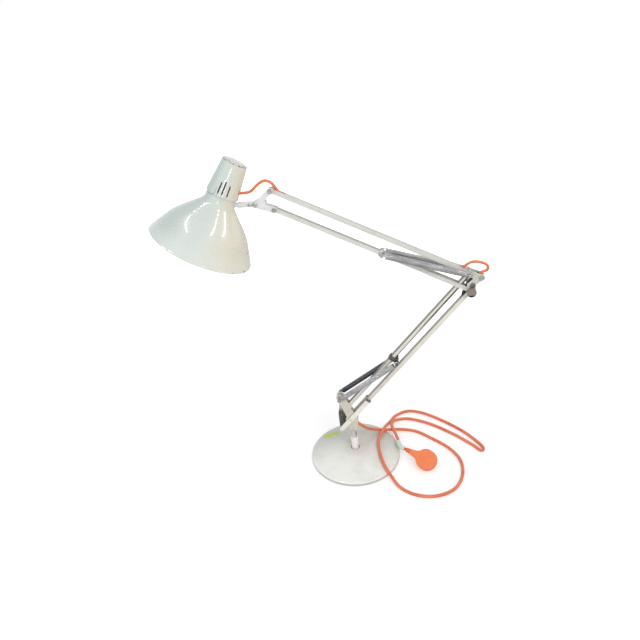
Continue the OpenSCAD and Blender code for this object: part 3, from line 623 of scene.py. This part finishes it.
# Each stretch: its name, its route, its first and last point, the two bodies it joins, its finish
stretches = (
    ("elbow_cable_upper", elbow_route, 0, 11, "upper_link", "elbow", sheath),
    ("elbow_cable_lower", elbow_route, 11, 17, "elbow", "lower_main", sleeve_black),
    ("head_cable_in_shade", head_route, 0, 4, "shade", "head_arm", sheath),
    ("head_cable_loop", head_route, 4, 8, "head_arm", "head_bracket", sheath),
    ("head_cable_in_tube", head_route, 8, 15, "head_bracket", "upper_link", sheath),
)
for name, route, first, last, before, after, finish in stretches:
    node = "_".join(name.split("_")[:2])
    line = smooth_line(route, cable_step)
    start = min(range(len(line)), key=lambda k: (line[k] - route[first]).length)
    stop = min(range(len(line)), key=lambda k: (line[k] - route[last]).length)
    stretch = as_mesh(wire_curve(name, line[start:stop + 1], cable_radius, finish, 5))
    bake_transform(stretch)
    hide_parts(node)

# Mains cord
# A round three-core cord with an orange sheath. It leaves the bracket, drops over the base, makes
# one wide loop and one long one on the table, and ends in its plug.
cord_radius = 0.0035
cord_step = 0.004
cord_start = ((0.0082, 0, -0.0081), (0.0172, 0, -0.0144), (0.0235, 0.006, -0.0254))
cord_route = [pivot["lower_arm"] + Vector(point) for point in cord_start]
cord_route += [Vector(point) for point in (
    (0.026, 0.027, 0.056), (0.037, 0.050, 0.033), (0.051, 0.062, 0.021), (0.066, 0.067, 0.0158),
    (0.084, 0.077, 0.008),
    (0.108, 0.083, 0.0036), (0.142, 0.076, 0.0036), (0.178, 0.051, 0.0036), (0.215, 0.018, 0.0036),
    (0.236, -0.020, 0.0036), (0.236, -0.066, 0.0036), (0.216, -0.106, 0.0036), (0.178, -0.127, 0.0036),
    (0.136, -0.126, 0.0036), (0.102, -0.106, 0.0038), (0.082, -0.078, 0.010), (0.067, -0.052, 0.0174),
    (0.057, -0.017, 0.0216), (0.053, 0.016, 0.0222), (0.058, 0.044, 0.0214), (0.067, 0.066, 0.0236),
    (0.073, 0.088, 0.015), (0.080, 0.110, 0.0055), (0.095, 0.137, 0.0036), (0.126, 0.154, 0.0036),
    (0.164, 0.145, 0.0036), (0.207, 0.117, 0.0036), (0.252, 0.078, 0.0036), (0.283, 0.038, 0.0036),
    (0.292, 0.018, 0.0036), (0.285, 0.011, 0.0036), (0.270, 0.029, 0.0036), (0.229, 0.067, 0.0036),
    (0.177, 0.104, 0.0036), (0.128, 0.123, 0.0036), (0.096, 0.118, 0.0045), (0.084, 0.096, 0.012),
    (0.086, 0.074, 0.0166), (0.094, 0.054, 0.0115), (0.0985, 0.037, 0.0125), (0.099, 0.020, 0.0175),
    (0.105, 0.0005, 0.022), (0.115, -0.007, 0.022))]
cord_line = smooth_line(cord_route, cord_step)
cord_orange = plain_finish("cord_orange", (0.86, 0.24, 0.12), 0.36, tint=(0.66, 0.135, 0.055), scale=260.0)
mains_cord = wire_curve("mains_cord", cord_line, cord_radius, cord_orange, 5)
stand_in(mains_cord, "floor_cord")

# Cord sleeve
# A short pale sleeve pushed over the cord behind the plug. It bends with the cord.
sleeve_radius = 0.0052
sleeve_from = (0.0985, 0.0235)
sleeve_to = (0.1130, -0.0062)
sleeve_plastic = plain_finish("sleeve_plastic", (0.66, 0.80, 0.73), 0.3, tint=(0.80, 0.86, 0.82), scale=380.0)
fine_step = 0.0015
fine_line = smooth_line(cord_route[-6:], fine_step)


def nearest_on_cord(place):
    """Which point of the cord's last stretch is nearest, seen from above"""
    return min(range(len(fine_line)), key=lambda k: (fine_line[k].xy - Vector(place)).length)


sleeve_line = fine_line[nearest_on_cord(sleeve_from):nearest_on_cord(sleeve_to) + 1]
sleeve = stand_in(wire_curve("sleeve", sleeve_line, sleeve_radius, sleeve_plastic, 6), "cord_sleeve")

# Plug
# A moulded orange plug: a thick disc with a softened edge, a neck that narrows to a ribbed end
# where the cord goes in, and two pins. It lies tilted, on its rim and its pins.
plug_radius = 0.023
plug_half = 0.008
plug_reach = 0.0566
pin_length = 0.019
nose_tip = cord_route[-1]
plug_heading = math.radians(323)
plug_place = (Matrix.Translation(nose_tip) @ Matrix.Rotation(plug_heading, 4, "Z")
              @ Matrix.Translation((plug_reach, 0, 0))
              @ Matrix.Rotation(math.atan(pin_length / plug_radius), 4, "X"))
neck_end = 0.0425
neck_side = [(-0.0215, 0.0115), (-0.0255, 0.0088), (-0.032, 0.0074), (-0.040, 0.0064), (-neck_end, 0.0060)]
rim_from = math.radians(150)
rim_steps = 40
outline = neck_side[::-1]
outline += [(plug_radius * math.cos(rim_from - 2 * rim_from * k / rim_steps),
             plug_radius * math.sin(rim_from - 2 * rim_from * k / rim_steps)) for k in range(rim_steps + 1)]
outline += [(x, -y) for x, y in neck_side]
plug = bmesh.new()
plug_floor = plug.faces.new([plug.verts.new((x, y, -plug_half)) for x, y in outline])
raised = bmesh.ops.extrude_face_region(plug, geom=[plug_floor])["geom"]
bmesh.ops.translate(plug, verts=[v for v in raised if isinstance(v, bmesh.types.BMVert)],
                    vec=(0, 0, 2 * plug_half))
bmesh.ops.recalc_face_normals(plug, faces=plug.faces)
same_height = 0.001
disc_round = 0.0028
long_edges = [edge for edge in plug.edges if edge.calc_face_angle(0) > math.radians(60)
              and abs(edge.verts[0].co.z - edge.verts[1].co.z) < same_height]
bmesh.ops.bevel(plug, geom=long_edges, offset=disc_round, offset_type="OFFSET", segments=4, profile=0.5,
                affect="EDGES", clamp_overlap=True, material=-1)
# The moulding gets thinner along its neck
thin_from = 0.012
thin_over = 0.03
thin_share = 0.28
for vert in plug.verts:
    thin = min(1.0, max(0.0, (-vert.co.x - thin_from) / thin_over))
    vert.co.z *= 1 - thin_share * thin
rib_profile = []
ribs = 4
rib_pitch = 0.0036
first_rib_radius = 0.0062
rib_taper = 0.0004
rib_depth = 0.0016
rib_start = neck_end - 0.002
# Where each rib's crest starts and ends, and where its groove is reached
crest_start = 0.0003
crest_end = 0.0018
groove_start = 0.0021
bore_radius = 0.0034
for k in range(ribs):
    rib_from = rib_start + k * rib_pitch
    rib_radius = first_rib_radius - rib_taper * k
    rib_profile += [(rib_radius - rib_depth, rib_from), (rib_radius, rib_from + crest_start),
                    (rib_radius, rib_from + crest_end), (rib_radius - rib_depth, rib_from + groove_start)]
nose = turned([(bore_radius, rib_profile[0][1])] + rib_profile + [(bore_radius, plug_reach)], 32)
bmesh.ops.rotate(nose, verts=nose.verts, cent=(0, 0, 0), matrix=Matrix.Rotation(math.radians(-90), 3, "Y"))
nose_mesh = bpy.data.meshes.new("nose")
nose.to_mesh(nose_mesh)
nose.free()
plug.from_mesh(nose_mesh)
bmesh.ops.transform(plug, matrix=plug_place, verts=plug.verts)
plug_orange = plain_finish("plug_orange", (1.0, 0.27, 0.10), 0.42, tint=(0.95, 0.21, 0.07), scale=240.0)
plug_piece = stand_in(as_object("plug_moulding", plug, plug_orange), "plug_body")
pins = rounded("plug_pins", polished, cut_edge)

# Shade
# A bell spun from thin sheet, glossy outside and in, with its rim rolled to a bead.
# The enamel has gone grey-green and is painted darker, as painted shade, on the side away from the arm; on
# the other it has yellowed and is painted lighter, as painted light.
wall = 0.0012
rim_radius = 0.102
collar_radius = 0.0286
collar_to = 0.117
rim_offset = Vector((-0.1162, 0, -0.0746))
shade_roll = math.radians(-7.5)
shade_lean = math.radians(30.25)
shade_place = (Matrix.Translation(pivot["head_tilt"]) @ Matrix.Rotation(shade_roll, 4, "X")
               @ Matrix.Translation(rim_offset) @ Matrix.Rotation(shade_lean, 4, "Y"))
bell_shape = [(0.0018, 0.985), (0.018, 0.87), (0.032, 0.757), (0.046, 0.64), (0.059, 0.486), (0.073, 0.297),
              (0.086, 0.125), (0.095, 0.025), (0.103, 0.0)]


def shade_frame(tree):
    """Object coordinates turned so that Z runs up the shade's own axis from its rim"""
    return turned_axes(tree, shade_place.translation, shade_place.to_euler("XYZ"))


def worn_ends(tree):
    """The rim and the very top, where the enamel chips"""
    height = shade_frame(tree)["Z"]
    rim = step_up(tree, height, 0.005, 0.0005, 0.65)
    top = step_up(tree, height, 0.1725, 0.1750, 1.0)
    return calculate(tree, "MAXIMUM", rim, top)


def grubby_cap(tree):
    """Brown-grey blotches on the cap and its edge"""
    top = step_up(tree, shade_frame(tree)["Z"], 0.1735, 0.1752)
    blotches = cloudy(tree, own_place(tree), 130.0, 3.0)
    return calculate(tree, "MULTIPLY", top, step_up(tree, blotches, 0.44, 0.60, 0.85))


rim_marks = [Vector(place) for place in ((-0.1754, -0.0096, 0.5163), (-0.1788, -0.0413, 0.4906),
                                         (-0.1908, -0.0712, 0.4993))]


def rim_chips(tree):
    """Three chips on the rim, brown where the steel shows"""
    place = own_place(tree)
    nearest = 1.0
    for mark in rim_marks:
        gap = calculate_vector(tree, "DISTANCE", {0: place, 1: mark}, "Value")
        nearest = calculate(tree, "MINIMUM", gap, nearest)
    ragged = calculate(tree, "MULTIPLY", cloudy(tree, place, 700.0, 3.0), 0.004)
    return step_up(tree, calculate(tree, "ADD", nearest, ragged), 0.0047, 0.0041, 0.9)


def across_shade(tree):
    """How far a point lies round towards the arm: -1 on the far left, 1 on the right"""
    axes = shade_frame(tree)
    out = add(tree, "ShaderNodeCombineXYZ", None, {0: axes["X"], 1: axes["Y"]}).outputs[0]
    reach = calculate_vector(tree, "LENGTH", {0: out}, "Value")
    return calculate(tree, "DIVIDE", axes["X"], calculate(tree, "MAXIMUM", reach, 0.005))


def yellowed_and_lit_side(tree):
    """The side towards the arm, yellowed and painted lighter as painted light"""
    return step_up(tree, across_shade(tree), 0.0, 0.85)


def greyed_and_shaded_side(tree):
    """The side away from the arm, gone grey-green and painted darker as painted shade"""
    return step_up(tree, across_shade(tree), -0.15, -0.95)


def rim_light(tree):
    """Painted light: the lower part of the bell, painted lighter towards the rim"""
    return step_up(tree, shade_frame(tree)["Z"], 0.035, 0.005, 0.35)


seam_radius = 0.030
seam_half = 0.0005
seam_turns = ((212, 0.1092), (218, 0.1086), (229, 0.1083), (240, 0.1083), (248, 0.1103),
              (255, 0.1143), (256, 0.1195), (256, 0.1263))
seam = [Vector((seam_radius * math.cos(math.radians(angle)), seam_radius * math.sin(math.radians(angle)),
                height)) for angle, height in seam_turns]


def seam_line(tree):
    """A dark hairline where the sleeve's lower edge was filled, drawn as the nearness to its stretches"""
    axes = shade_frame(tree)
    flat = add(tree, "ShaderNodeCombineXYZ", None, {0: axes["X"], 1: axes["Y"]}).outputs[0]
    out = calculate_vector(tree, "NORMALIZE", {0: flat})
    ring = calculate_vector(tree, "SCALE", {0: out, "Scale": seam_radius})
    height = add(tree, "ShaderNodeCombineXYZ", None, {2: axes["Z"]}).outputs[0]
    here = calculate_vector(tree, "ADD", {0: ring, 1: height})
    nearest = 1.0
    for start, end in zip(seam, seam[1:]):
        run = end - start
        from_start = calculate_vector(tree, "SUBTRACT", {0: here, 1: start})
        along = calculate_vector(tree, "DOT_PRODUCT", {0: from_start, 1: run / run.length_squared}, "Value")
        share = add(tree, "ShaderNodeClamp", None, {0: along}).outputs[0]
        foot = calculate_vector(tree, "SCALE", {0: run, "Scale": share})
        gap = calculate_vector(tree, "DISTANCE", {0: from_start, 1: foot}, "Value")
        nearest = calculate(tree, "MINIMUM", gap, nearest)
    return step_up(tree, nearest, 1.6 * seam_half, 0.6 * seam_half, 0.75)


bell_points = [Vector((collar_radius + (rim_radius - collar_radius) * share, height, 0))
               for height, share in bell_shape]
bell_step = 0.004
outer_wall = smooth_line(bell_points, bell_step) + [Vector((collar_radius, collar_to, 0))]
inner_wall = []
for k, point in enumerate(outer_wall):
    run = (outer_wall[min(k + 1, len(outer_wall) - 1)] - outer_wall[max(k - 1, 0)]).normalized()
    inner_wall.append(point + wall * Vector((-run.y, run.x, 0)))
bead_drop = 0.0006
bead_radius = 0.0013
bead_turns = range(210, 391, 20)
bead_centre = (outer_wall[0] + inner_wall[0]) / 2 - Vector((0, bead_drop, 0))
bead = [bead_centre + bead_radius * Vector((math.cos(math.radians(a)), math.sin(math.radians(a)), 0))
        for a in bead_turns]
bell_outline = [(p.x, p.y) for p in reversed(inner_wall)] + [(p.x, p.y) for p in bead]
bell_outline += [(p.x, p.y) for p in outer_wall]
shade_enamel = enamel(
    "shade_enamel", edge_mask=worn_ends, gloss=0.9,
    # Painted shade on the side away from the arm, and painted light on the side towards it
    tints=((greyed_and_shaded_side, (0.47, 0.57, 0.54, 1)), (yellowed_and_lit_side, (0.79, 0.745, 0.61, 1)),
           # Painted light on the lower part of the bell
           (rim_light, (0.84, 0.86, 0.81, 1)), (seam_line, (0.16, 0.16, 0.15, 1)),
           (grubby_cap, (0.30, 0.27, 0.18, 1)), (rim_chips, (0.12, 0.09, 0.07, 1))),
    paint=(0.66, 0.72, 0.68, 1), stain=(0.52, 0.52, 0.44, 1), bare=(0.15, 0.12, 0.09, 1),
    patches=16.0, stained=0.18, chip_level=0.82)
bell = turned(bell_outline)
bmesh.ops.transform(bell, matrix=shade_place, verts=bell.verts)
stand_in(as_object("shade_spinning", bell, shade_enamel, 50), "shade_bell")

# Neck and cap
# The neck is a tapered sleeve over the collar, pierced by three slots that let the heat out on the
# near side. A shallow cap closes it.
cap_edge = 0.0008
rounded("neck_housing", shade_enamel, cut_edge)
rounded("top_cap", shade_enamel, cap_edge)

# Lampholder
# A black moulded holder with a brass contact, carried on a steel bracket inside the neck.
# The photograph doesn't show it.
holder_black = plain_finish("holder_black", (0.025, 0.025, 0.027), 0.28)
brass = plain_finish("brass", (0.62, 0.43, 0.17), 0.32, 1.0)
holder_edge = 0.0006
rounded("lampholder", holder_black, holder_edge)
rounded("holder_bracket", steel, cut_edge)
rounded("lamp_contact", brass, cut_edge)

# Floor and background
# A plain pale floor that keeps the lamp's shadow, and a white surround. The camera sees the floor
# brighter than it is lit, so that it fades into the surround.
floor = bmesh.new()
bmesh.ops.create_grid(floor, x_segments=1, y_segments=1, size=6.0)
floor_material, floor_tree, floor_shader = blank_material("floor_white")
floor_shader.inputs["Base Color"].default_value = (0.86, 0.86, 0.86, 1)
floor_shader.inputs["Roughness"].default_value = 0.9
fade_from = 0.5
fade_to = 1.4
near_glow = 0.33
added_glow = 0.7
seen = add(floor_tree, "ShaderNodeLightPath").outputs["Is Camera Ray"]
fading = step_up(floor_tree, from_axis(floor_tree), fade_from, fade_to, added_glow)
glow = calculate(floor_tree, "MULTIPLY", seen, calculate(floor_tree, "ADD", fading, near_glow))
floor_tree.links.new(glow, floor_shader.inputs["Emission Strength"])
floor_shader.inputs["Emission Color"].default_value = (1, 1, 1, 1)
floor_piece = as_object("floor", floor, floor_material)
floor_drop = 0.0005
floor_piece.location.z = -floor_drop
world = bpy.data.worlds.new("studio")
bpy.context.scene.world = world
world.use_nodes = True
sky = world.node_tree.nodes["Background"]
paths = add(world.node_tree, "ShaderNodeLightPath").outputs
shown = calculate(world.node_tree, "MAXIMUM", paths["Is Camera Ray"], paths["Is Glossy Ray"])
shown = calculate(world.node_tree, "MAXIMUM", shown, paths["Is Transmission Ray"])
sky_light = 0.62
strength = add(world.node_tree, "ShaderNodeMapRange", None,
               {"Value": shown, "To Min": sky_light, "To Max": 1.0})
world.node_tree.links.new(strength.outputs[0], sky.inputs["Strength"])
sky.inputs["Color"].default_value = (1, 1, 1, 1)

# Lamps
# A large soft box in front on the right lights the scene, and a weaker one on the left fills it.
# Narrow strips far off leave the reflections that run down the glossy shade and its neck.


def area_lamp(name, place, turn, width, height, power):
    light = bpy.data.lights.new(name, "AREA")
    light.shape = "RECTANGLE"
    light.size = width
    light.size_y = height
    light.energy = power
    lamp = bpy.data.objects.new(name, light)
    lamp.matrix_world = Matrix.Translation(place) @ turn.to_4x4()
    bpy.context.scene.collection.objects.link(lamp)
    return lamp


def soft_box(name, place, target, size, power):
    turn = (Vector(target) - Vector(place)).to_track_quat("-Z", "Y").to_matrix()
    area_lamp(name, place, turn, size, size, power).visible_glossy = False


def strip(name, start, end, width, power):
    """A long narrow lamp from start to end that faces the shade"""
    first, last = Vector(start), Vector(end)
    middle = (first + last) / 2
    long_way = (last - first).normalized()
    back = middle - shade_place.translation
    back = (back - back.dot(long_way) * long_way).normalized()
    turn = Matrix((long_way.cross(back), long_way, back)).transposed()
    area_lamp(name, middle, turn, width, (last - first).length, power).visible_diffuse = False


lamp_aim = (0.0, 0.0, 0.3)
soft_box("key_box", (1.1, -1.5, 1.9), lamp_aim, 1.3, 20)
soft_box("fill_box", (-1.5, -1.0, 1.3), lamp_aim, 1.2, 5)
strip("left_strip", (-0.66, 0.20, 2.04), (-0.50, -0.80, 1.93), 0.05, 3.8)
strip("middle_strip", (0.79, -0.51, 1.62), (0.85, -0.25, 1.64), 0.035, 1.0)
strip("right_strip", (1.16, -0.08, 1.22), (1.16, 0.22, 1.19), 0.035, 1.5)
strip("neck_strip", (0.03, -1.49, 0.90), (-0.09, -1.51, 0.68), 0.06, 2)

# Camera
# The photograph's own viewpoint: close, in front and above, and tipped a little to one side.
camera_data = bpy.data.cameras.new("camera")
camera_data.sensor_width = 36
camera_data.lens = 29.95
camera = bpy.data.objects.new("camera", camera_data)
look_down = 0.4930
camera_place = Matrix.Translation((0.10967, -0.94403, 0.87451))
camera_yaw = Matrix.Rotation(0.1682, 4, "Z")
camera_pitch = Matrix.Rotation(math.pi / 2 - look_down, 4, "X")
camera_roll = Matrix.Rotation(-0.1082, 4, "Z")
camera.matrix_world = camera_place @ camera_yaw @ camera_pitch @ camera_roll
bpy.context.scene.collection.objects.link(camera)
bpy.context.scene.camera = camera
bpy.context.scene.view_settings.view_transform = "Standard"
